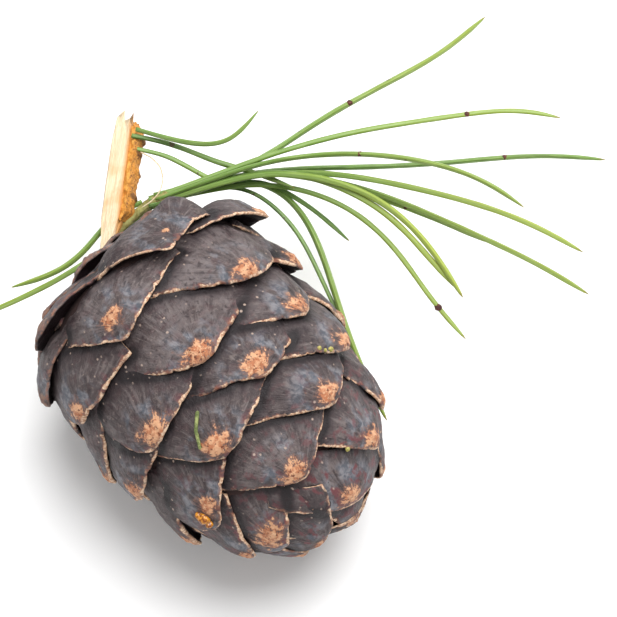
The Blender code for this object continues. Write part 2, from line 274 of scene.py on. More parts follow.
# A point on a scale, from its distance behind the scale's tip and from the scale's middle line.
# The sheet is laid on the rolled-out cone, so that straight rims stay straight.
def scalePoint(tipArc, tipAngle, back, side, lift):
    arc = tipArc - back
    radius = np.maximum(np.interp(arc, arcs, radii), 0.0004)
    step = 0.002
    least = 0.02
    slope = (np.interp(arc + step, arcs, radii) - np.interp(arc - step, arcs, radii)) / (2.0 * step)
    flat = np.abs(slope) < least
    rolled = radius / np.maximum(np.abs(slope), least)
    turn = np.where(flat, side / radius, np.arctan2(side, rolled) * rolled / radius)
    shift = np.where(flat, 0.0, (np.hypot(rolled, side) - rolled) * np.sign(slope))
    return conePoint(arc + shift, tipAngle + turn, lift)


# A point on one of the last scales, which run across the cone's tip
def capPoint(shortOf, tipAngle, back, side, lift):
    out = shortOf + back
    along = out * np.cos(tipAngle) - side * np.sin(tipAngle)
    across = out * np.sin(tipAngle) + side * np.cos(tipAngle)
    widest = int(np.argmax(radii))
    arc = np.interp(np.hypot(along, across), radii[:widest:-1], arcs[:widest:-1])
    return conePoint(arc, np.arctan2(across, along), lift)


def coneMatrix():
    tilt = coneShape["tilt"]
    turn = coneShape["turn"]
    axis = Vector((math.cos(tilt) * math.cos(turn), -math.cos(tilt) * math.sin(turn), -math.sin(tilt)))
    view = viewWay(coneShape["faceElevation"])
    front = (view - axis * axis.dot(view)).normalized()
    side = axis.cross(front)
    reach = radii * math.cos(tilt) + heights * math.sin(tilt)
    best = int(np.argmax(reach))
    down = (axis * axis.z - Vector((0.0, 0.0, 1.0))).normalized()
    lowest = axis * float(heights[best]) + down * float(radii[best])
    base = Vector(coneShape["restShift"]) - Vector((0.0, 0.0, coneShape["restCut"])) - lowest
    return np.array([
        [front.x, side.x, axis.x, base.x],
        [front.y, side.y, axis.y, base.y],
        [front.z, side.z, axis.z, base.z],
    ])


coneFrame = coneMatrix()


def toWorld(points):
    return points @ coneFrame[:, :3].T + coneFrame[:, 3]


# The scales. Lengths are in millimetres on a scale of full size. The first scales stand off the cone,
# and the very first are ragged; the last ones are wider and redder.
scaleShape = {
    "halfWidth": 16.6, "reach": 22.0, "slope": 0.166, "crown": 0.0085, "crownLimit": 1.5,
    "lipThickness": 0.62, "lipRound": 0.34, "thickening": 0.4, "lipCurl": 0.1, "curlReach": 0.8,
    "puff": 0.95, "puffReach": 2.0, "umboHeight": 0.5, "umboWide": 2.55, "umboTall": 1.85,
    "undulation": 0.27, "fibreHeight": 0.06, "rimWave": 0.3, "rimChip": 0.16, "columns": 96,
    "apron": 1.22, "capWidth": 1.4, "narrowsAt": 13.5, "narrowing": 0.4,
    "cornerRound": 0.55, "cornerReach": 9.0, "steepestRim": 1.1,
    "raggedScales": 17, "raggedness": 3.4, "looseScales": 21, "standOffReach": 9.0, "redFrom": 44,
    "rows": [0.0, 0.08, 0.18, 0.3, 0.46, 0.66, 0.92, 1.2, 1.5, 1.8, 2.1, 2.4, 2.7, 3.0, 3.33, 3.66, 4.0,
             4.33, 4.67, 5.0, 5.35, 5.7, 6.1, 6.5, 6.9, 7.3, 7.7, 8.1, 8.6, 9.1, 9.7, 10.3, 11.0, 11.8, 12.8,
             14.0, 16.0, 18.5],
    "underRows": [0.08, 0.3, 0.92, 2.4, 5.0, 9.1, 16.0, 18.5],
}
# Scales that sit off the spiral: millimetres towards the cone's tip, degrees round it.
offSpiral = {
    4: (-3.0, 0.0), 7: (-4.0, 0.0), 9: (-6.0, 0.0), 12: (-6.5, 0.0), 14: (-0.9, 1.0),
    17: (1.9, -10.8), 20: (-0.9, -18.0), 22: (1.9, -8.6), 25: (3.6, -16.0), 27: (-2.4, 5.1),
    30: (3.8, -7.3), 33: (2.9, -0.9), 35: (0.8, 1.8), 38: (1.1, 0.1), 40: (-4.3, 3.8),
    41: (0.4, 8.5), 43: (-0.4, 3.9), 46: (0.7, 1.9), 48: (-0.9, 4.8), 51: (0.9, 4.3),
    54: (0.0, -3.4), 56: (0.9, 30.0), 58: (0.0, -8.0), 59: (0.0, -14.0), 61: (0.0, 8.0),
}
# The last scales close over the cone's tip: how far short of it each one ends, or past it with a
# minus sign.
capTips = {58: 8.8, 59: 6.9, 60: 4.5, 61: 5.0, 62: 0.0, 63: -3.0}
# Loose scales at the stalk end whose tips stand off the cone, and rims that curl outwards, millimetres
standingOff = {4: 0.0, 7: 0.0, 9: 0.0, 12: 0.0, 14: 1.4, 17: 1.6, 20: 1.4}
curledRims = {17: 0.8, 20: 0.7, 14: 0.5, 22: 0.5, 28: 0.4}
# Scales that arch up behind their tips: millimetres to the left of the corner and behind it, how far
# the arch reaches sideways and along the scale, and how high it stands.
archedScales = {
    17: ((-11.0, 14.0, 6.5, 6.5, 5.2), (2.0, 15.0, 7.0, 6.0, 2.4)),
    20: ((-2.0, 9.0, 9.0, 6.0, 1.9),),
}
# How the two rims of a scale fall back from its corner, as slope and bend on the left and then on
# the right, and where its umbo is: millimetres to the left of the corner and behind it.
scaleForms = {
    17: (1.1, 0.0, 0.4, 0.005, -3.0, 5.0), 20: (0.28, 0.001, 0.4, 0.01, 0.6, 1.6),
    22: (0.7, 0.008, 0.4, 0.002, -0.5, 5.2), 25: (0.17, 0.022, 0.3, 0.004, 2.2, 2.3),
    27: (0.5, 0.02, -0.1, 0.011, -1.6, 2.0), 30: (0.22, 0.03, 0.38, 0.0, 1.3, 2.0),
    33: (0.3, 0.001, 0.4, 0.03, -0.1, 2.5), 35: (0.3, 0.06, 0.15, 0.006, -1.7, 2.4),
    38: (0.5, -0.007, 0.28, 0.0, 0.4, 3.1), 40: (0.4, 0.01, 0.1, 0.003, -1.6, 2.0),
    41: (0.22, 0.003, 0.4, 0.01, -1.0, 2.1), 43: (0.6, 0.02, 0.05, 0.017, -0.6, 3.0),
    46: (0.36, -0.003, 0.4, 0.015, 0.1, 2.9), 48: (0.4, 0.02, 0.44, 0.0, -3.0, 4.6),
    51: (0.42, 0.005, 0.36, 0.012, 0.6, 2.9), 54: (0.15, 0.004, 0.4, 0.01, 1.5, 3.2),
    56: (0.3, 0.03, 0.24, 0.006, -3.6, 6.6), 58: (0.1, 0.01, 0.3, 0.01, 0.4, 2.2),
    59: (0.02, -0.002, 0.02, 0.004, 3.6, 4.8), 61: (0.2, 0.01, -0.3, 0.002, 0.5, 2.6),
    62: (0.0, 0.0, 0.0, 0.0, 0.5, 2.6), 63: (0.1, 0.01, 0.1, 0.01, 0.5, 2.6),
}

# How much larger or smaller than the others an umbo is
umboSizes = {17: 0.3, 20: 0.7, 30: 1.12, 43: 1.12, 51: 1.15, 38: 1.05, 54: 1.3, 56: 1.75, 59: 1.4}
# How dark a scale is, from 0 to 1, where the light and dark ones are known: partly each scale's own tone,
# partly painted shade, darker on the scales at the cone's lower left in the camera's view
scaleTonesWithShade = {25: 0.0, 31: 0.1, 30: 0.35, 33: 0.45, 22: 0.5, 43: 0.7, 46: 0.9, 35: 0.9, 27: 1.0, 48: 0.9,
              51: 0.4, 56: 0.6, 38: 0.6, 41: 0.4, 40: 0.9}


def scaleTip(index):
    random = np.random.default_rng(500 + index)
    number = index + coneShape["firstTip"]
    tipHeight = float(np.interp(number, scaleCounts, heights))
    tipArc = float(np.interp(number, scaleCounts, arcs))
    size = math.sqrt(float(np.interp(tipHeight, heights, cellSizes)))
    shift, turn = offSpiral.get(index, (0.0, random.uniform(-1.0, 1.0)))
    angle = math.radians(coneShape["startAngle"] + turn)
    angle = angle - coneShape["goldenAngle"] * (index - coneShape["frontScale"])
    return tipArc + shift * 0.001, angle, size


def scaleForm(index):
    random = np.random.default_rng(2600 + index)
    slopes = random.uniform(0.33, 0.43, 2)
    bends = random.uniform(-0.002, 0.016, 2)
    usual = (slopes[0], bends[0], slopes[1], bends[1], random.uniform(-0.6, 1.0), random.uniform(2.1, 2.9))
    return scaleForms.get(index, usual)


# How far the rim has fallen back at each distance to the side of the corner
def rimBack(side, index):
    shape = scaleShape
    leftSlope, leftBend, rightSlope, rightBend, _, _ = scaleForm(index)
    slope = np.where(side > 0.0, leftSlope, rightSlope)
    bend = np.where(side > 0.0, leftBend, rightBend)
    distance = np.sqrt(side * side + shape["cornerRound"]) - math.sqrt(shape["cornerRound"])
    near = np.minimum(distance, shape["cornerReach"])
    beyond = np.clip(slope + 2.0 * shape["cornerReach"] * bend, 0.0, shape["steepestRim"])
    back = slope * near + bend * near * near + beyond * (distance - near)
    wave = softWaves(side, 0.0, 4.2, 900 + index) * shape["rimWave"]
    chip = softWaves(side, 0.0, 1.0, 1300 + index)
    nick = softWaves(side, 0.0, 0.45, 1700 + index)
    ragged = shape["raggedness"] if index < shape["raggedScales"] else 1.0
    chips = np.maximum(chip, 0.0) ** 2 * shape["rimChip"] * 2.5 * ragged
    quiet = smoothStep(np.abs(side), 0.3, 2.0)
    return back + (wave * ragged + chips) * quiet + chip * 0.05 + nick * 0.05


# The faces of a scale, the same for all: its top, its lip and its underside
def sheetFaces():
    count = scaleShape["columns"]
    topRows = np.array(scaleShape["rows"])
    top = len(topRows)
    rows = top + len(scaleShape["underRows"])
    faces = []
    for row in range(rows - 1):
        for column in range(count - 1):
            corner = row * count + column
            faces.append((corner, corner + 1, corner + 1 + count, corner + count))
    lastRow = (rows - 1) * count
    for column in range(count - 1):
        faces.append((lastRow + column, lastRow + column + 1, column + 1, column))
    # The two side walls, one strip of polygons each
    for column in (0, count - 1):
        previousTop = top - 1
        for number, value in enumerate(scaleShape["underRows"]):
            matching = top - 1 - int(np.argmin(np.abs(topRows - value)))
            lower = (top + number) * count + column
            loop = [lower] + [row * count + column for row in range(matching, previousTop + 1)]
            if number > 0:
                loop.append(lower - count)
            faces.append(tuple(loop if column == 0 else loop[::-1]))
            previousTop = matching
    return faces


def scaleSheet(index):
    shape = scaleShape
    random = np.random.default_rng(7000 + index)
    tipArc, tipAngle, size = scaleTip(index)
    umboSide, umboBack = scaleForm(index)[4:]
    # Columns from side to side, closer together in the middle
    spread = np.linspace(-1.0, 1.0, shape["columns"])
    spread = (0.72 * spread + 0.28 * spread ** 3) * shape["apron"]
    side = spread * shape["halfWidth"] * random.uniform(0.99, 1.05)
    side = side * (shape["capWidth"] if index in capTips else 1.0)
    standOff = 0.0
    if index < shape["looseScales"]:
        standOff = standingOff.get(index, random.uniform(0.0, 1.2)) / size
    raised = random.uniform(-0.12, 0.22)
    lean = random.uniform(-0.012, 0.012)

    # Rows from the back of the top to the lip, then along the underside
    gap = np.concatenate([shape["rows"][::-1], shape["underRows"]])[:, None]
    under = np.arange(len(gap))[:, None] >= len(shape["rows"])
    limit = min(shape["reach"] * size, tipArc * 1000.0 - 1.2) / size
    back = rimBack(side, index) + gap
    back = back - np.maximum(back - limit * 0.97, 0.0) * 0.98
    narrowing = np.clip((back - shape["narrowsAt"]) / 7.0, 0.0, 1.0) * shape["narrowing"]
    narrowed = side * (1.0 - narrowing)

    # Distance from the umbo, and the way to it, so that the fibres run together there
    fromUmboSide = narrowed - umboSide
    fromUmboBack = back - umboBack
    ring = np.hypot(fromUmboSide, fromUmboBack)
    way = np.arctan2(fromUmboSide, fromUmboBack + 2.4)
    patch = np.hypot(fromUmboSide / shape["umboWide"], fromUmboBack / shape["umboTall"])
    patch = patch / umboSizes.get(index, random.uniform(0.86, 1.14))
    patch = patch * (1.0 + 0.3 * softWaves(narrowed, back, 1.5, 2100 + index))
    patch = patch + 0.2 * softWaves(narrowed, back * 0.5, 0.55, 2140 + index)

    puff = shape["puff"] * (1.0 - np.exp(-gap / shape["puffReach"])) * smoothStep(12.0 - gap, 0.0, 6.0)
    lift = raised - shape["slope"] * back + lean * narrowed + puff
    lift = lift - np.minimum(shape["crown"] * narrowed ** 2, shape["crownLimit"])
    lift = lift + standOff * np.maximum(0.0, 1.0 - back / shape["standOffReach"])
    lift = lift + curledRims.get(index, shape["lipCurl"]) * np.exp(-gap / shape["curlReach"])
    for place, behind, wide, tall, height in archedScales.get(index, ()):
        lift = lift + height * np.exp(-((narrowed - place) / wide) ** 2 - ((back - behind) / tall) ** 2)
    for share, wave, seed in ((1.0, 4.6, 40), (0.38, 1.7, 340), (0.15, 0.8, 380)):
        lift = lift + share * shape["undulation"] * softWaves(narrowed, back, wave, seed + index)
    rays = softWaves(way * 11.0, ring * 0.12, 1.0, 640 + index)
    rays = rays + 0.6 * softWaves(way * 26.0, ring * 0.16, 1.0, 680 + index)
    lift = lift + shape["fibreHeight"] * rays * smoothStep(ring, 1.4, 3.4) * smoothStep(gap, 0.2, 1.2)
    lump = shape["umboHeight"] + 0.2 * softWaves(narrowed, back, 0.7, 940 + index)
    lift = lift + np.exp(-patch ** 2) * lump * smoothStep(gap, 0.0, 0.8)
    lip = shape["lipThickness"] * (1.0 + 0.3 * softWaves(side, 0.0, 2.6, 1500 + index))
    roll = 0.42 * lip * (1.0 - np.clip(gap / shape["lipRound"], 0.0, 1.0)) ** 2
    deep = lip + shape["thickening"] * np.minimum(gap, 6.0)
    deep = np.where(gap < 0.2, lip * 0.8, deep)
    lift = np.where(under, lift - deep, lift - roll)

    spot = (back * size * 0.001, narrowed * size * 0.001, lift * size * 0.001)
    if index in capTips:
        points = capPoint(capTips[index] * 0.001, tipAngle, *spot)
    else:
        points = scalePoint(tipArc, tipAngle, *spot)
    points = toWorld(points.reshape(-1, 3))
    points[:, 2] = np.maximum(points[:, 2], 0.0)
    even = np.ones(len(points))
    layers = {
        "umbo": patch.ravel(),
        "rimGap": np.where(under, -deep - gap, gap).ravel() * size,
        "ring": ring.ravel() * size,
        "toneWithShade": even * scaleTonesWithShade.get(index, random.uniform(0.3, 1.0)),
        "weathered": even * (index < shape["looseScales"] and index not in archedScales),
        "tipShare": even * np.clip((index - shape["redFrom"]) / 16.0, 0.0, 1.0),
        "place": stackGrid(narrowed * size, back * size, index * 7.3).reshape(-1, 3),
        "fibre": stackGrid(way * 7.0, ring * size, index * 3.1).reshape(-1, 3),
    }
    return points, scaleFaces, layers


print("shaping", scaleTotal, "scales")
scaleFaces = sheetFaces()
sheets = [scaleSheet(index) for index in range(scaleTotal)]
rimRow = len(scaleShape["rows"]) - 2
rims = [sheet[0].reshape(-1, scaleShape["columns"], 3)[rimRow] for sheet in sheets]

# How far each spot is from the nearest rim that lies over it, for the painted shade below those rims
underRimShadeReach = 9.0
scalesOver = 21
for index, (points, _, layers) in enumerate(sheets):
    gap = np.full(len(points), underRimShadeReach)
    over = rims[max(0, index - scalesOver):index]
    if over:
        spots = np.concatenate(over)
        tree = kdtree.KDTree(len(spots))
        for number, spot in enumerate(spots):
            tree.insert(spot, number)
        tree.balance()
        gap = np.array([tree.find(point)[2] * 1000.0 for point in points])
    layers["underRimShade"] = np.minimum(gap, underRimShadeReach)
print("seams measured")


def makeScaleMaterial():
    material, tree, shader = startMaterial("coneScales")
    place = readValue(tree, "place", "Vector")
    fibre = readValue(tree, "fibre", "Vector")
    names = ("umbo", "rimGap", "ring", "underRimShade", "toneWithShade", "tipShare", "weathered")
    umbo, rimGap, ring, underRimShade, toneWithShade, tipShare, weathered = [readValue(tree, name) for name in names]

    cloud = grain(tree, place, 0.24, 4.0, 0.6)
    blotch = grain(tree, place, 0.8, 3.0, 0.6, 0.5)
    fine = grain(tree, place, 2.2, 4.0, 0.65)
    streak = grain(tree, stretched(tree, fibre, (1.1, 0.12, 1.0)), 1.5, 4.0, 0.6)
    thread = grain(tree, stretched(tree, fibre, (4.5, 0.22, 1.0)), 1.6, 3.0, 0.6)

    brown = twoTone(tree, cloud, 0.36, 0.66, (74, 63, 63), (114, 104, 104))
    brown = coats(
        tree, brown,
        # Partly painted shade: the scales at the cone's lower left in the camera's view are darkened with the
        # tone.
        (toneWithShade, 0.0, 1.0, 0.75, (62, 50, 51)),
        (streak, 0.52, 0.68, 0.5, (128, 118, 116)),
        (streak, 0.48, 0.32, 0.7, (48, 38, 40)),
        (blotch, 0.54, 0.7, 0.5, (126, 114, 110)),
        (blotch, 0.46, 0.32, 0.75, (46, 36, 38)),
        (thread, 0.56, 0.7, 0.28, (136, 126, 122)),
        (fine, 0.57, 0.72, 0.35, (122, 102, 94)),
        (fine, 0.43, 0.3, 0.45, (44, 34, 36)),
    )

    # Slate-blue bloom in a band behind the umbo
    band = times(tree, fade(tree, ring, 1.6, 3.2), fade(tree, ring, 9.0, 4.5))
    bloomCloud = grain(tree, stretched(tree, place, (0.9, 0.6, 1.0)), 0.4)
    bloom = times(tree, band, fade(tree, bloomCloud, 0.44, 0.62, 0.0, 0.78))
    surface = blend(tree, bloom, brown, twoTone(tree, blotch, 0.4, 0.6, (86, 92, 102), (134, 134, 140)))

    # Wine red in blotches, towards the rims and towards the cone's tip, and painted shade in dark bands below
    # the rims that lie over each scale
    wine = plus(tree, fade(tree, rimGap, 2.6, 0.3, 0.0, 0.6), times(tree, tipShare, 0.95), 0.12)
    wine = times(tree, wine, fade(tree, grain(tree, place, 0.5), 0.5, 0.66))
    surface = blend(tree, wine, surface, paint(104, 58, 62))
    # Painted shade: each scale darkens, nearly to black, close below the rims of the scales over it.
    surface = coats(
        tree, surface,
        (underRimShade, 3.8, 0.9, 0.62, (38, 25, 30)),
        (underRimShade, 1.9, 0.85, 0.88, (18, 10, 14)),
    )

    # Small pale specks
    speck = tree.nodes.new("ShaderNodeTexVoronoi")
    feed(tree, speck.inputs["Vector"], place)
    speck.inputs["Scale"].default_value = 0.62
    speckMask = fade(tree, speck.outputs["Distance"], 0.22, 0.1, 0.0, 0.8)
    speckMask = times(tree, speckMask, fade(tree, grain(tree, place, 0.45), 0.52, 0.62))
    surface = blend(tree, speckMask, surface, paint(182, 160, 146))

    # The buff umbo, ragged at its edge, with pale spots on it painted as highlights
    ragged = plus(
        tree, umbo, fade(tree, fine, 0.3, 0.7, -0.22, 0.22),
        fade(tree, streak, 0.35, 0.65, 0.2, -0.2), fade(tree, blotch, 0.35, 0.65, 0.22, -0.22),
    )
    halo = times(tree, fade(tree, ragged, 1.6, 0.95, 0.0, 0.65), fade(tree, weathered, 0.0, 1.0, 1.0, 0.2))
    surface = blend(tree, halo, surface, paint(128, 90, 76))
    heart = times(tree, fade(tree, ragged, 1.06, 0.82), fade(tree, weathered, 0.0, 1.0, 1.0, 0.25))
    buff = twoTone(tree, blotch, 0.4, 0.6, (178, 112, 76), (214, 162, 124))
    pits = grain(tree, place, 1.5, 2.0)
    buff = coats(
        tree, buff,
        # Painted highlights: pale spots on the umbo.
        (fine, 0.56, 0.68, 0.7, (236, 200, 162)),
        (pits, 0.57, 0.66, 0.85, (98, 46, 30)),
    )
    surface = blend(tree, heart, surface, buff)

    # The thin pale line along each lip, broken in places, is a painted highlight on the lip's edge; rust lies
    # beside it.
    broken = fade(tree, grain(tree, stretched(tree, place, (1.0, 0.3, 1.0)), 0.38), 0.38, 0.52)
    wander = fade(tree, grain(tree, place, 0.5, 4.0, 0.6), 0.3, 0.7, 0.34, -0.34)
    lineWidth = plus(tree, rimGap, wander)
    rust = times(
        tree, fade(tree, lineWidth, 1.0, 0.25, 0.0, 0.75), fade(tree, blotch, 0.42, 0.58),
        fade(tree, rimGap, -0.3, 0.0),
    )
    surface = blend(tree, rust, surface, paint(140, 88, 66))
    # Painted highlight: the pale line along the lip's edge.
    line = times(
        tree, fade(tree, lineWidth, 0.52, 0.3), fade(tree, rimGap, -0.95, -0.6), broken,
        fade(tree, weathered, 0.0, 1.0, 1.0, 0.12),
    )
    surface = blend(tree, line, surface, twoTone(tree, fine, 0.4, 0.6, (184, 138, 108), (232, 202, 172)))
    # Painted shade: the underside of each scale, below its lip, is darkened nearly to black.
    surface = coats(tree, surface, (rimGap, -0.55, -0.9, 1.0, (34, 20, 23)))

    dress(tree, shader, surface, fade(tree, cloud, 0.35, 0.7, 0.5, 0.72))
    shader.inputs["Specular IOR Level"].default_value = 0.4
    roughen(tree, shader, plus(tree, fine, times(tree, thread, 0.6), blotch), 0.0003, 0.7)
    return material


# Scales are joined in four groups, so that no piece is too heavy.
scaleGroups = {
    "stalkEndScales": range(0, 18), "lowerScales": range(18, 34),
    "upperScales": range(34, 50), "tipScales": range(50, scaleTotal),
}
scaleMaterial = makeScaleMaterial()
for name, chosen in scaleGroups.items():
    settle(joinPiece(name, [sheets[index] for index in chosen], scaleMaterial), "cone")
print("scales made")

# The body behind the scales, metres, coloured dark as painted shade in the gaps between the scales. It is
# nearer the surface at the cone's tip.
coreShape = {"rows": 60, "columns": 72, "depth": 0.003, "risesAtTip": 0.0014}


def makeCore():
    rows = coreShape["rows"]
    columns = coreShape["columns"]
    part = 0.5 - 0.5 * np.cos(np.pi * np.linspace(0.0, 1.0, rows))
    arc, angle = np.meshgrid(arcs[-1] * part, roundAngles(columns), indexing="ij")
    depth = coreShape["depth"] - coreShape["risesAtTip"] * smoothStep(arc / arcs[-1], 0.8, 0.97)
    points = toWorld(conePoint(arc, angle, -depth).reshape(-1, 3))
    faces = []
    for row in range(rows - 1):
        for column in range(columns):
            corner = row * columns + column
            across = row * columns + (column + 1) % columns
            faces.append((corner, across, across + columns, corner + columns))
    faces.append(tuple(range(columns))[::-1])
    faces.append(tuple((rows - 1) * columns + column for column in range(columns)))
    material, tree, shader = startMaterial("coneCore")
    speckle = grain(tree, objectSpot(tree), 900.0, 4.0, 0.6)
    # Painted shade: the core is coloured very dark where it shows in the gaps between scales.
    dress(tree, shader, blend(tree, speckle, paint(34, 20, 20), paint(66, 42, 38)), 0.85)
    roughen(tree, shader, speckle, 0.0003)
    return makePiece("coneCore", points, faces, material)


settle(makeCore(), "cone")

# The needles. Each is a line of points in millimetres, from where it leaves the twig to its tip, then its
# half width, how light it is, so that lighter needles are painted as lit and darker ones as shaded, and how
# yellow.
needleShape = {
    "sides": 15, "stations": 84, "corner": 0.13, "groove": 0.05, "tipLength": 5.0, "tipShare": 0.1,
    "swell": 0.14, "spread": 1.1,
}
spurEnd = (-10.3, 38.5, 26.5)
rightLines = [
    ([spurEnd, (-1.2, 40.2, 27.6), (7.4, 42.6, 28.9), (15.0, 45.6, 30.2), (22.1, 50.0, 31.5),
      (30.9, 54.4, 32.0), (42.8, 60.4, 31.5), (50.7, 64.7, 30.7), (60.5, 73.5, 29.0)], 0.56, 0.5, 0.5),
    ([spurEnd, (-0.6, 40.4, 28.3), (8.6, 42.7, 30.2), (17.1, 44.4, 32.1), (30.1, 46.4, 34.0),
      (41.4, 48.0, 33.2), (54.1, 49.9, 31.7), (65.6, 51.0, 30.5), (72.6, 48.2, 30.0)], 0.52, 0.6, 0.5),
    ([spurEnd, (0.6, 41.7, 26.9), (10.2, 43.1, 27.4), (21.4, 42.5, 28.1), (35.2, 40.9, 29.0),
      (50.5, 41.1, 28.0), (62.6, 42.4, 26.4), (73.6, 42.6, 24.5), (81.6, 41.6, 23.0)], 0.5, 0.1, 0.1),
    ([spurEnd, (-0.6, 40.4, 28.4), (9.1, 42.4, 30.7), (18.6, 42.6, 32.9), (29.6, 41.3, 35.3),
      (40.3, 38.5, 37.0), (49.9, 35.6, 36.2), (57.2, 31.8, 35.1), (62.2, 27.0, 34.0)], 0.5, 0.4, 0.4),
    ([spurEnd, (-0.1, 40.5, 26.8), (9.6, 42.5, 27.4), (21.3, 42.0, 28.1), (32.3, 39.1, 28.9),
      (45.7, 34.4, 29.0), (57.6, 30.3, 27.6), (67.3, 25.9, 25.3), (74.2, 21.5, 23.0)], 0.56, 0.6, 0.8),
    ([spurEnd, (0.5, 41.2, 25.4), (11.9, 43.6, 25.0), (23.0, 41.7, 24.8), (35.0, 37.6, 24.0),
      (45.9, 32.7, 21.7), (56.8, 27.6, 18.8), (67.7, 22.2, 15.6), (75.8, 16.7, 13.0)], 0.56, 0.4, 0.6),
    ([spurEnd, (0.5, 41.9, 25.3), (12.0, 44.5, 24.4), (24.2, 42.0, 23.5), (35.1, 37.5, 22.3),
      (44.9, 33.3, 20.7), (56.3, 27.7, 18.0)], 0.46, 0.9, 0.2),
    ([spurEnd, (0.5, 40.1, 28.8), (11.9, 42.0, 29.9), (23.9, 39.6, 30.0), (33.5, 35.0, 29.3),
      (40.2, 28.9, 28.0), (45.0, 21.8, 26.4), (49.2, 13.4, 24.0)], 0.64, 0.9, 0.9),
    ([spurEnd, (0.6, 41.2, 27.9), (10.8, 43.2, 28.8), (22.3, 40.6, 29.0), (32.4, 34.5, 28.2),
      (38.5, 29.0, 26.9), (43.4, 21.8, 25.4), (48.3, 15.3, 24.0)], 0.6, 0.6, 0.8),
    ([spurEnd, (-0.1, 40.3, 26.1), (10.1, 41.6, 26.0), (21.1, 39.0, 25.5), (30.2, 34.1, 24.3),
      (37.3, 26.3, 22.5), (44.0, 14.4, 18.9), (49.6, 7.9, 16.0)], 0.54, 0.6, 0.6),
    ([spurEnd, (1.6, 42.0, 24.9), (11.8, 43.2, 23.9), (18.3, 39.2, 22.6), (23.6, 35.1, 21.0),
      (28.5, 30.0, 19.0)], 0.52, 0.0, 0.0),
    ([spurEnd, (0.5, 41.7, 24.4), (11.2, 42.8, 23.0), (17.7, 38.8, 22.1), (21.5, 31.4, 21.2),
      (23.6, 23.1, 19.9), (25.9, 12.2, 17.8), (28.5, 3.2, 15.6), (32.5, -6.8, 13.0)], 0.58, 0.4, 0.4),
    ([spurEnd, (-0.7, 41.3, 24.1), (8.9, 42.7, 22.2), (14.2, 38.3, 21.2), (18.8, 32.2, 20.1),
      (21.5, 24.4, 18.9), (24.6, 15.7, 17.1), (28.1, 5.7, 15.5)], 0.44, 0.0, 0.1),
    ([(-12.2, 51.5, 28.5), (-6.1, 49.7, 28.5), (-1.7, 47.7, 28.5), (3.1, 45.0, 28.5), (10.7, 42.4, 28.0),
      (18.3, 38.8, 27.0)], 0.55, 0.1, 0.2),
    ([(-12.4, 48.6, 28.0), (-6.3, 47.1, 27.4), (-2.0, 44.8, 26.9), (1.7, 42.6, 26.1),
      (7.2, 41.4, 25.0)], 0.5, 0.5, 0.3),
]
leftLines = [
    ([(-11.5, 38.4, 25.5), (-16.1, 36.6, 25.1), (-19.6, 34.2, 24.8), (-23.7, 29.9, 24.3),
      (-28.3, 26.8, 23.8), (-33.5, 25.3, 22.9), (-39.2, 24.6, 21.5)], 0.56, 0.4, 0.4),
    ([(-10.3, 38.7, 26.0), (-15.0, 35.2, 25.2), (-19.8, 31.0, 24.3), (-25.0, 27.5, 23.7),
      (-31.3, 24.2, 22.7), (-39.4, 21.6, 20.6), (-48.7, 19.7, 18.0)], 0.52, 0.5, 0.5),
]
bentLines = [
    ([(-12.1, 52.2, 29.5), (-7.7, 50.2, 29.9), (-2.7, 48.3, 30.8), (2.3, 47.2, 31.7), (6.2, 47.7, 32.5),
      (9.2, 49.9, 33.2), (12.3, 53.0, 34.0)], 0.5, 0.4, 0.2),
]


def lengthsAlong(points):
    return np.concatenate([[0.0], np.cumsum(np.linalg.norm(np.diff(points, axis=0), axis=1))])


# A smooth line through the given points, with its ends kept
def easedLine(points, count, rounds):
    points = np.array(points, float)
    reach = lengthsAlong(points)
    spots = np.linspace(0.0, reach[-1], count)
    line = np.stack([np.interp(spots, reach, points[:, axis]) for axis in range(3)], axis=1)
    for _ in range(rounds):
        line[1:-1] = 0.5 * line[1:-1] + 0.25 * (line[:-2] + line[2:])
    return line


# The skin of a tube round a line, from how far out it stands at each angle
def tubePoints(line, spoke, angle):
    ways = np.gradient(line, axis=0)
    ways = ways / np.linalg.norm(ways, axis=1)[:, None]
    across = np.cross(ways, np.array([0.0, 0.0, 1.0]))
    across = across / np.linalg.norm(across, axis=1)[:, None]
    upward = np.cross(across, ways)
    points = line[:, None, :] + across[:, None, :] * (spoke * np.cos(angle))[:, :, None]
    return points + upward[:, None, :] * (spoke * np.sin(angle))[:, :, None]


def tubeFaces(rows, columns):
    faces = []
    for row in range(rows - 1):
        for column in range(columns):
            corner = row * columns + column
            across = row * columns + (column + 1) % columns
            faces.append((corner, corner + columns, across + columns, across))
    faces.append(tuple(range(columns)))
    faces.append(tuple((rows - 1) * columns + column for column in range(columns))[::-1])
    return faces


def needleMesh(line, halfWidth, seed):
    shape = needleShape
    count = shape["stations"]
    line = easedLine(line, count, 60)
    share = np.linspace(0.0, 1.0, count)
    spread = np.random.default_rng(seed + 60).uniform(-1.0, 1.0, 3) * shape["spread"]
    line = line + spread * (1.0 - smoothStep(share, 0.0, 0.75))[:, None]
    reach = lengthsAlong(line)
    random = np.random.default_rng(seed)
    turn = random.uniform(0.0, 2.0) + random.uniform(-0.4, 0.4) * share
    angles = roundAngles(shape["sides"])
    taper = np.sqrt(np.clip((reach[-1] - reach) / shape["tipLength"], 0.0, 1.0))
    width = halfWidth * (1.0 - shape["swell"] + shape["swell"] * np.sin(np.pi * reach / reach[-1]))
    width = width * (shape["tipShare"] + (1.0 - shape["tipShare"]) * taper)
    width = width * (1.0 + 0.05 * softWaves(reach, 0.0, 4.0, seed))
    ring = 1.0 + shape["corner"] * np.cos(3.0 * angles) - shape["groove"] * np.cos(6.0 * angles)
    points = tubePoints(line, width[:, None] * ring, angles + turn[:, None])
    place = stackGrid(reach[:, None], np.cos(angles) * halfWidth, np.sin(angles) * halfWidth + seed * 5.7)
    layers = {
        "along": np.repeat(reach / reach[-1], shape["sides"]),
        "keelHighlight": np.tile(np.cos(3.0 * angles), count),
        "place": place.reshape(-1, 3),
    }
    return points.reshape(-1, 3) * 0.001, tubeFaces(count, shape["sides"]), layers


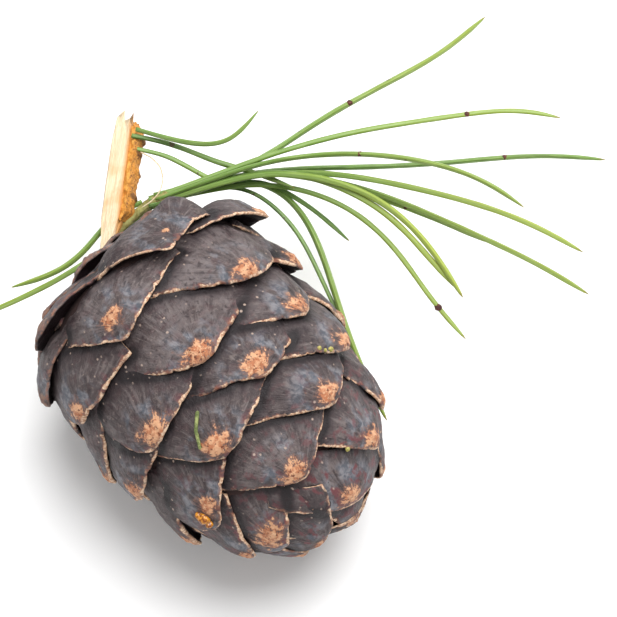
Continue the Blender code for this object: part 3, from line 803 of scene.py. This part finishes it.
def makeNeedleMaterial():
    material, tree, shader = startMaterial("needleGreen")
    along, keelHighlight, light, yellow = [readValue(tree, name) for name in ("along", "keelHighlight", "light", "yellow")]
    place = readValue(tree, "place", "Vector")
    cloud = grain(tree, stretched(tree, place, (0.12, 1.0, 1.0)), 1.4)
    streak = grain(tree, stretched(tree, place, (0.1, 4.5, 4.5)), 1.8, 3.0, 0.6)
    spots = grain(tree, place, 0.42, 1.0)
    # Painted light and shade: lighter needles stand for lit ones, darker needles for shaded ones.
    green = blend(tree, light, paint(56, 90, 26), paint(126, 158, 58))
    green = coats(tree, green, (cloud, 0.35, 0.65, 0.6, (104, 142, 60)))
    yellowed = times(tree, yellow, fade(tree, along, 0.25, 0.9, 0.0, 0.85))
    green = blend(tree, yellowed, green, paint(166, 174, 60))
    green = coats(
        tree, green,
        (streak, 0.52, 0.66, 0.5, (176, 198, 122)),
        # Painted highlight: lighter bands run along each needle's faces.
        (keelHighlight, 0.3, -0.8, 0.35, (152, 182, 116)),
        (along, 0.975, 1.0, 0.8, (150, 128, 62)),
        (spots, 0.735, 0.76, 0.85, (74, 46, 28)),
    )
    dress(tree, shader, green, 0.42)
    shader.inputs["Specular IOR Level"].default_value = 0.45
    roughen(tree, shader, streak, 0.00012, 0.5)
    return material


def makeNeedles(name, lines, seed, node):
    parts = []
    for number, (line, halfWidth, light, yellow) in enumerate(lines):
        points, faces, layers = needleMesh(line, halfWidth, seed + number)
        layers["light"] = np.full(len(points), light)
        layers["yellow"] = np.full(len(points), yellow)
        parts.append((points, faces, layers))
    settle(joinPiece(name, parts, needleMaterial), node)


needleMaterial = makeNeedleMaterial()
makeNeedles("rightNeedles", rightLines, 310, "needles_right")
makeNeedles("leftNeedles", leftLines, 340, "needles_left")
makeNeedles("bentNeedle", bentLines, 350, "needle_bent")

# Small beads, each a flattened lumpy ball at a point in millimetres: dark burrs on the needles, a drop
# of resin and yellow-green flecks on the scales
beadShape = {"rows": 14, "columns": 20, "lumps": 0.18, "flattened": (1.0, 1.0, 0.7)}
beadSpots = {
    "burrs": [((30.7, 54.3, 32.0), 0.62), ((53.7, 49.7, 32.0), 0.6), ((60.7, 42.1, 26.8), 0.55),
              ((31.3, 40.7, 35.7), 0.55), ((44.7, 14.0, 18.8), 0.75), ((40.3, 35.3, 21.7), 0.5)],
    "resin": [((-4.4, -31.2, 34.0), 1.25), ((-5.3, -30.5, 34.0), 0.8), ((-3.6, -32.2, 33.5), 0.75)],
    "flecks": [((19.3, -4.0, 45.6), 0.42), ((20.3, -4.2, 44.8), 0.36), ((21.4, -3.9, 44.3), 0.48),
               ((22.9, -21.7, 38.8), 0.46)],
}


def makeBeads(name, spots, material, node, seed):
    shape = beadShape
    rise = np.linspace(-0.5 * np.pi, 0.5 * np.pi, shape["rows"])[:, None] * 0.97
    turn = roundAngles(shape["columns"])
    ball = stackGrid(np.cos(rise) * np.cos(turn), np.cos(rise) * np.sin(turn), np.sin(rise))
    faces = tubeFaces(shape["rows"], shape["columns"])
    parts = []
    for number, (centre, radius) in enumerate(spots):
        lumps = softWaves(ball[..., 0] * 2.2 + number, ball[..., 1] * 2.2 + ball[..., 2], 1.0, seed)
        lumpy = ball * (1.0 + shape["lumps"] * lumps)[..., None]
        points = np.array(centre) + lumpy * radius * np.array(shape["flattened"])
        parts.append((points.reshape(-1, 3) * 0.001, faces, {}))
    settle(joinPiece(name, parts, material), node)


def makeBeadMaterial(name, dark, light, roughness):
    material, tree, shader = startMaterial(name)
    speckle = grain(tree, objectSpot(tree), 1400.0, 3.0, 0.6)
    dress(tree, shader, twoTone(tree, speckle, 0.4, 0.6, dark, light), roughness)
    roughen(tree, shader, speckle, 0.0002, 0.5)
    return material


burrMaterial = makeBeadMaterial("burrBrown", (64, 26, 22), (104, 50, 34), 0.6)
resinMaterial = makeBeadMaterial("amberResin", (118, 60, 24), (208, 138, 40), 0.15)
fleckMaterial = makeBeadMaterial("yellowFleck", (134, 128, 62), (184, 172, 100), 0.7)
makeBeads("needleBurrs", beadSpots["burrs"], burrMaterial, "needles_right", 401)
makeBeads("resinDrop", beadSpots["resin"], resinMaterial, "cone", 402)
makeBeads("scaleFlecks", beadSpots["flecks"], fleckMaterial, "cone", 403)
print("needles made")

# The torn twig: split wood, in millimetres from its foot, where the cone's stalk meets it
twigShape = {
    "root": (-19.3, 30.9, 27.0), "heading": math.radians(80.0), "slope": -0.035, "length": 28.7,
    "below": 3.2, "round": 2.75, "leftFace": 1.7, "topFace": 2.1, "stations": 120, "sides": 96,
    "splinter": 0.16, "narrowTop": 0.3, "footSize": 0.45, "middle": (-0.6, 0.4),
}


def twigPoints(along, across, high):
    heading = twigShape["heading"]
    way = Vector((math.cos(heading), math.sin(heading), twigShape["slope"])).normalized()
    side = Vector((math.sin(heading), -math.cos(heading), 0.0))
    upward = -np.array(way.cross(side))
    points = np.array(twigShape["root"]) + along[..., None] * np.array(way)
    points = points + across[..., None] * np.array(side) + high[..., None] * upward
    return points.reshape(-1, 3) * 0.001


def makeTwigWood():
    shape = twigShape
    share = np.linspace(0.0, 1.0, shape["stations"])[:, None]
    angle = roundAngles(shape["sides"])[None, :]
    fibre = softWaves(angle * 5.0, share * 4.0, 1.0, 61) * 0.16
    fibre = fibre + softWaves(angle * 14.0, share * 3.0, 1.0, 62) * 0.11
    fibre = fibre + softWaves(angle * 2.0, share * 9.0, 1.0, 63) * 0.12
    splinter = softWaves(angle * 3.5, 0.0, 1.0, 64) * 0.6 + softWaves(angle * 9.0, 0.0, 1.0, 65) * 0.4
    torn = shape["splinter"] * np.clip(0.4 - splinter, 0.0, 1.0) * smoothStep(share, 0.55, 1.0)
    along = -shape["below"] + share * (shape["length"] + shape["below"]) * (1.0 - torn)
    spoke = shape["round"] + fibre
    across = np.maximum(spoke * np.cos(angle), -shape["leftFace"] + 0.8 * fibre)
    ridge = 0.35 * (across < 0.3) * np.abs(across - 0.3)
    high = np.minimum(spoke * np.sin(angle), shape["topFace"] + 0.9 * fibre - ridge)
    narrow = 1.0 - shape["narrowTop"] * smoothStep(along / shape["length"], 0.72, 1.0)
    foot = shape["footSize"] + (1.0 - shape["footSize"]) * smoothStep(along, -3.5, 5.0)
    middle, level = shape["middle"]
    across = middle + (across - middle) * narrow * foot
    high = (high - level) * narrow * foot + level
    points = twigPoints(along, across, high)
    layers = {
        "cambium": smoothStep(across, 0.9, 2.0).ravel(),
        "place": stackGrid(along, across, high).reshape(-1, 3),
    }

    material, tree, shader = startMaterial("tornWood")
    place = readValue(tree, "place", "Vector")
    cambium = readValue(tree, "cambium")
    streak = grain(tree, stretched(tree, place, (0.1, 2.2, 2.2)), 1.5, 4.0, 0.65)
    thread = grain(tree, stretched(tree, place, (0.16, 6.0, 6.0)), 1.7, 3.0, 0.6)
    cloud = grain(tree, place, 0.22)
    wood = twoTone(tree, streak, 0.35, 0.65, (220, 194, 154), (238, 222, 190))
    wood = coats(
        tree, wood,
        (thread, 0.42, 0.32, 0.55, (194, 146, 98)),
        (cloud, 0.5, 0.7, 0.5, (218, 168, 112)),
    )
    wood = blend(tree, times(tree, cambium, 0.85), wood, paint(206, 134, 44))
    dress(tree, shader, wood, 0.62)
    roughen(tree, shader, plus(tree, streak, thread), 0.00025, 0.6)
    faces = tubeFaces(shape["stations"], shape["sides"])
    return makePiece("tornTwig", points, faces, material, layers)


# The strip of bark on the twig's right, in millimetres from the twig's foot and middle line, and in
# degrees round it. Each knot has its place along, its place round and its height.
barkShape = {
    "inner": 2.55, "outer": 4.6, "start": 3.6, "end": 25.6, "top": -44.0, "under": 104.0,
    "stations": 110, "sides": 64, "layers": 8, "sunk": 0.45, "flakes": 0.28, "crumbs": 0.14,
    "thinEnds": 0.3, "knotTurn": 22.0,
    "knots": ((22.2, -6.0, 0.75), (19.0, -14.0, 0.75), (14.8, 4.0, 0.6), (9.0, -16.0, 0.65),
              (6.2, 10.0, 0.5)),
}


def makeTwigBark():
    shape = barkShape
    sides = shape["sides"]
    corners = shape["layers"] - 2
    turn = np.radians(np.linspace(shape["top"], shape["under"], sides))
    # A closed loop round the strip: along its outer face, then back along its inner face
    edge = np.linspace(0.0, 1.0, shape["layers"])[1:-1]
    round = np.concatenate([turn, np.full(corners, turn[-1]), turn[::-1], np.full(corners, turn[0])])[None, :]
    depth = np.concatenate([np.zeros(sides), edge, np.ones(sides), edge[::-1]])[None, :]
    share = np.linspace(0.0, 1.0, shape["stations"])[:, None]
    end = shape["end"] + 1.1 * softWaves(round * 2.2, depth * 1.5, 1.0, 71)
    end = end + 0.4 * softWaves(round * 7.0, depth * 2.0, 1.0, 72)
    start = shape["start"] + 1.0 * softWaves(round * 2.2, depth * 1.5, 1.0, 73)
    along = start + (end - start) * share
    flake = softWaves(round * 3.3, along / 1.7, 1.0, 74)
    flake = np.round(flake * 2.5) / 2.5 * 0.5 + flake * 0.5
    crumb = softWaves(round * 9.0, along / 0.7, 1.0, 75)
    knots = np.zeros(along.shape)
    for place, where, height in shape["knots"]:
        beside = (np.degrees(round) - where) / shape["knotTurn"]
        knots = knots + height * np.exp(-(along - place) ** 2 - beside ** 2)
    outer = shape["outer"] - shape["sunk"] + shape["flakes"] * flake + shape["crumbs"] * crumb + knots
    full = smoothStep(share, 0.0, 0.08) * smoothStep(1.0 - share, 0.0, 0.1)
    full = shape["thinEnds"] + (1.0 - shape["thinEnds"]) * full
    outer = shape["inner"] + (outer - shape["inner"]) * full
    spoke = outer * (1.0 - depth) + shape["inner"] * depth
    ragged = 0.1 * softWaves(along / 0.9, depth * 3.0, 1.0, 76)
    angle = round + ragged * ((depth > 0.05) & (depth < 0.95))
    across = spoke * np.cos(angle)
    high = -spoke * np.sin(angle)
    points = twigPoints(along, across, high)
    layers = {
        "outer": np.broadcast_to(1.0 - depth, along.shape).ravel(), "knot": knots.ravel(),
        "place": stackGrid(along, across, high).reshape(-1, 3),
    }

    material, tree, shader = startMaterial("roughBark")
    place = readValue(tree, "place", "Vector")
    outerShare, knot, fresh = [readValue(tree, name) for name in ("outer", "knot", "fresh")]
    cloud = grain(tree, place, 0.8, 4.0, 0.65)
    crumbs = grain(tree, place, 2.6, 4.0, 0.65)
    streak = grain(tree, stretched(tree, place, (0.2, 2.0, 2.0)), 1.6)
    orange = twoTone(tree, cloud, 0.35, 0.65, (206, 132, 44), (234, 174, 82))
    orange = coats(tree, orange, (streak, 0.45, 0.34, 0.5, (164, 88, 30)))
    brown = twoTone(tree, crumbs, 0.36, 0.52, (112, 66, 32), (206, 140, 62))
    flaked = times(tree, fade(tree, outerShare, 0.8, 0.99), fade(tree, cloud, 0.42, 0.56, 0.25, 1.0))
    skin = coats(tree, blend(tree, flaked, orange, brown), (knot, 0.22, 0.42, 0.7, (66, 42, 30)))
    skin = blend(tree, fresh, skin, twoTone(tree, cloud, 0.4, 0.6, (100, 112, 62), (150, 158, 98)))
    dress(tree, shader, skin, 0.78)
    roughen(tree, shader, crumbs, 0.0003, 0.8)
    faces = tubeFaces(*along.shape)
    return makePiece("twigBark", points, faces, material, layers)


# Round stems along lines of points in millimetres, with their radius at both ends, how lumpy their
# skin is and how fresh and green it is
stemShape = {"stations": 70, "sides": 26}
stems = {
    "coneStalk": {
        "line": [(-19.2, 31.6, 26.4), (-19.5, 29.3, 26.6), (-19.7, 25.6, 27.2), (-18.0, 23.0, 27.4)],
        "radii": (1.2, 1.8), "lumps": 0.1, "fresh": 0.0, "seed": 81,
    },
    "needleSpur": {
        "line": [(-19.4, 30.5, 26.6), (-16.5, 33.4, 26.3), (-13.4, 36.2, 26.3), spurEnd, (-6.6, 39.6, 27.0)],
        "radii": (0.8, 0.95), "lumps": 0.1, "fresh": 0.85, "seed": 83,
    },
    "looseFibre": {
        "line": [(-11.7, 48.2, 29.6), (-9.6, 46.6, 30.0), (-7.9, 44.2, 30.2), (-7.5, 41.3, 30.2),
                 (-8.4, 38.7, 30.0), (-10.2, 37.0, 29.6), (-12.2, 36.1, 29.0)],
        "radii": (0.16, 0.1), "lumps": 0.1, "fresh": 0.0, "seed": 85,
    },
    "greenScrap": {
        "line": [(-3.9, -15.3, 47.7), (-4.2, -16.9, 47.4), (-4.5, -18.8, 46.9), (-4.2, -20.6, 46.3),
                 (-4.0, -22.0, 45.6)],
        "radii": (0.36, 0.3), "lumps": 0.12, "fresh": 1.0, "seed": 87,
    },
}


def makeStem(name, material, node):
    stem = stems[name]
    count = stemShape["stations"]
    start, end = stem["radii"]
    share = np.linspace(0.0, 1.0, count)[:, None]
    angle = roundAngles(stemShape["sides"])[None, :]
    skin = softWaves(angle * 2.6, share * 22.0, 1.0, stem["seed"])
    skin = skin + 0.5 * softWaves(angle * 6.0, share * 50.0, 1.0, stem["seed"] + 1)
    spoke = (start + (end - start) * share) * (1.0 + stem["lumps"] * skin)
    spoke = spoke * (0.35 + 0.65 * smoothStep(share, 0.0, 0.03) * smoothStep(1.0 - share, 0.0, 0.03))
    points = tubePoints(easedLine(stem["line"], count, 12), spoke, angle).reshape(-1, 3)
    even = np.ones(len(points))
    layers = {"outer": even, "knot": even * 0.0, "fresh": even * stem["fresh"], "place": points}
    faces = tubeFaces(count, stemShape["sides"])
    settle(makePiece(name, points * 0.001, faces, material, layers), node)


twigWood = makeTwigWood()
twigBark = makeTwigBark()
woodMaterial = twigWood.data.materials[0]
barkMaterial = twigBark.data.materials[0]
settle(twigWood, "twig_wood")
settle(twigBark, "twig_bark")
makeStem("coneStalk", barkMaterial, "twig_wood")
makeStem("needleSpur", barkMaterial, "twig_wood")
makeStem("looseFibre", woodMaterial, "twig_wood")
makeStem("greenScrap", barkMaterial, "cone")
print("twig made")

# The floor, the light and the camera. Each lamp has its place, how wide it is and how strong.
setting = {
    "floorSize": 3.0, "skyLight": 0.54, "lampAim": (0.0, 0.0, 0.02),
    "lamps": {"keyLight": ((0.15, 0.19, 0.7), 0.66, 7.2), "fillLight": ((-0.3, -0.45, 0.55), 0.6, 0.3)},
    "aim": (0.00225, -0.00432, 0.0252), "distance": 0.45, "elevation": math.radians(68.0),
    "windowRight": 0.0163, "windowUp": 0.016, "lens": 136.7,
}


def makeFloor():
    half = setting["floorSize"] * 0.5
    corners = [(-half, -half, 0.0), (half, -half, 0.0), (half, half, 0.0), (-half, half, 0.0)]
    material, tree, shader = startMaterial("paleFloor")
    cloud = grain(tree, objectSpot(tree), 6.0)
    dress(tree, shader, blend(tree, cloud, paint(250, 250, 250), paint(254, 254, 254)), 0.8)
    makePiece("floor", corners, [(0, 1, 2, 3)], material)


# A lamp or a camera at its place, turned towards its target
def hang(name, data, place, target):
    item = bpy.data.objects.new(name, data)
    item.location = place
    item.rotation_mode = "QUATERNION"
    item.rotation_quaternion = (Vector(target) - Vector(place)).to_track_quat("-Z", "Y")
    bpy.context.scene.collection.objects.link(item)
    return item


makeFloor()
for name, (place, size, power) in setting["lamps"].items():
    lamp = bpy.data.lights.new(name, "AREA")
    lamp.shape = "DISK"
    lamp.size = size
    lamp.energy = power
    hang(name, lamp, place, setting["lampAim"])
world = bpy.data.worlds.new("studio")
world.use_nodes = True
sky = world.node_tree.nodes["Background"].inputs
sky["Color"].default_value = (1.0, 1.0, 1.0, 1.0)
sky["Strength"].default_value = setting["skyLight"]
bpy.context.scene.world = world
bpy.context.scene.view_settings.view_transform = "Standard"

elevation = setting["elevation"]
up = Vector((0.0, math.sin(elevation), math.cos(elevation)))
aim = Vector(setting["aim"])
target = aim + Vector((setting["windowRight"], 0.0, 0.0)) + up * setting["windowUp"]
camera = bpy.data.cameras.new("camera")
camera.lens = setting["lens"]
camera.sensor_width = 36.0
camera.clip_start = 0.01
camera.clip_end = 10.0
place = aim + viewWay(elevation) * setting["distance"]
bpy.context.scene.camera = hang("camera", camera, place, target)
print("floor, light and camera set")
